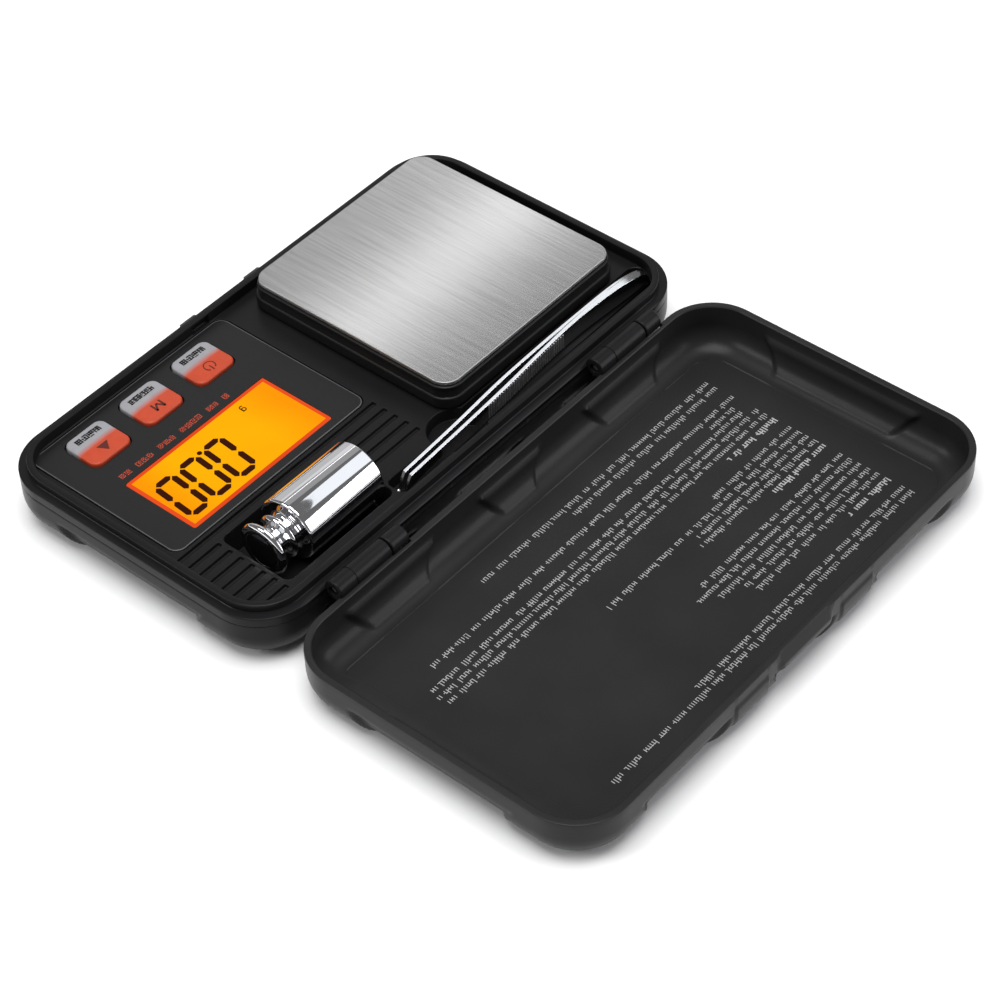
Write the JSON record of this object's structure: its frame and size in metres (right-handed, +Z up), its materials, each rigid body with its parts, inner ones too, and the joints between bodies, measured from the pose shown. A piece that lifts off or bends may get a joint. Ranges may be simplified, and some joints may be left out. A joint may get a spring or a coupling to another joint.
{
  "type": "digital gram scale",
  "caption": "Open clamshell pocket scale with steel weighing plate, lit display, push buttons, hinged lid, calibration weight and tweezers.",
  "frame": {"origin": "on the table under the hinge axis, midway along it, with the case lying open", "axes": "+X to the user's right, +Y from the base across the hinge to the open lid, +Z up"},
  "size_m": [0.122, 0.1426, 0.0187],
  "materials": {
    "case_plastic": "fine-grained charcoal moulding",
    "panel_film": "smooth satin film",
    "screen_lens": "clear lens",
    "screen": "lit orange liquid crystal panel",
    "diffuser": "milky light guide",
    "tray_plastic": "black moulding",
    "plate_steel": "brushed along the depth",
    "button_plastic": "printed orange and grey cap",
    "chrome": "mirror plated",
    "screw_steel": "plain steel",
    "rubber": "soft black",
    "board": "green laminate",
    "aluminium": "milled",
    "cable": "flat ribbon"
  },
  "bodies": {
    "base": {"bottom_shell": "case_plastic", "top_deck": "case_plastic", "label_membrane": "panel_film", "lcd_window": "screen_lens", "lcd_glass": "screen", "backlight_panel": "diffuser", "lcd_connector": "rubber", "circuit_board": "board", "key_switch_1": "screw_steel", "key_switch_2": "screw_steel", "key_switch_3": "screw_steel", "load_cell": "aluminium", "load_cell_spacer": "aluminium", "load_cell_screw_1": "screw_steel", "load_cell_screw_2": "screw_steel", "overload_stop": "screw_steel", "load_cell_cable": "cable", "battery_holder": "tray_plastic", "coin_cell_1": "screw_steel", "coin_cell_2": "screw_steel", "battery_contact_1": "screw_steel", "battery_contact_2": "screw_steel", "foot_1": "rubber", "foot_2": "rubber", "foot_3": "rubber", "foot_4": "rubber", "case_screw_1": "screw_steel", "case_screw_2": "screw_steel", "case_screw_3": "screw_steel", "case_screw_4": "screw_steel", "hinge_pin_1": "screw_steel", "hinge_pin_2": "screw_steel"},
    "lid": {"lid_shell": "case_plastic"},
    "platform": {"platform_tray": "tray_plastic", "weighing_plate": "plate_steel", "platform_post": "tray_plastic", "platform_screw": "screw_steel"},
    "power_button": {"power_button": "button_plastic"},
    "mode_button": {"mode_button": "button_plastic"},
    "count_button": {"count_button": "button_plastic"},
    "weight": {"calibration_weight": "chrome"},
    "tweezers": {"tweezers": "chrome"},
    "battery_door": {"battery_door": "case_plastic"}
  },
  "joints": [
    {"name": "lid_hinge", "type": "hinge", "parent": "base", "child": "lid", "pos_m": [0, 0, 0.0116], "axis": [-1, 0, 0], "range_deg": [-180, 0]},
    {"name": "platform_flex", "type": "slide", "parent": "base", "child": "platform", "axis": [0, 0, 1], "range_m": [-0.0004, 0], "stiffness_N_per_m": 10000},
    {"name": "power_press", "type": "slide", "parent": "base", "child": "power_button", "axis": [0, 0, 1], "range_m": [-0.0005, 0], "stiffness_N_per_m": 4000},
    {"name": "mode_press", "type": "slide", "parent": "base", "child": "mode_button", "axis": [0, 0, 1], "range_m": [-0.0005, 0], "stiffness_N_per_m": 4000},
    {"name": "count_press", "type": "slide", "parent": "base", "child": "count_button", "axis": [0, 0, 1], "range_m": [-0.0005, 0], "stiffness_N_per_m": 4000},
    {"name": "weight_lift", "type": "slide", "parent": "base", "child": "weight", "axis": [0, 0, 1], "range_m": [0, 0.03]},
    {"name": "tweezers_lift", "type": "slide", "parent": "base", "child": "tweezers", "axis": [0, 0, 1], "range_m": [0, 0.02]},
    {"name": "door_slide", "type": "slide", "parent": "base", "child": "battery_door", "axis": [0, -1, 0], "range_m": [0, 0.046]}
  ]
}
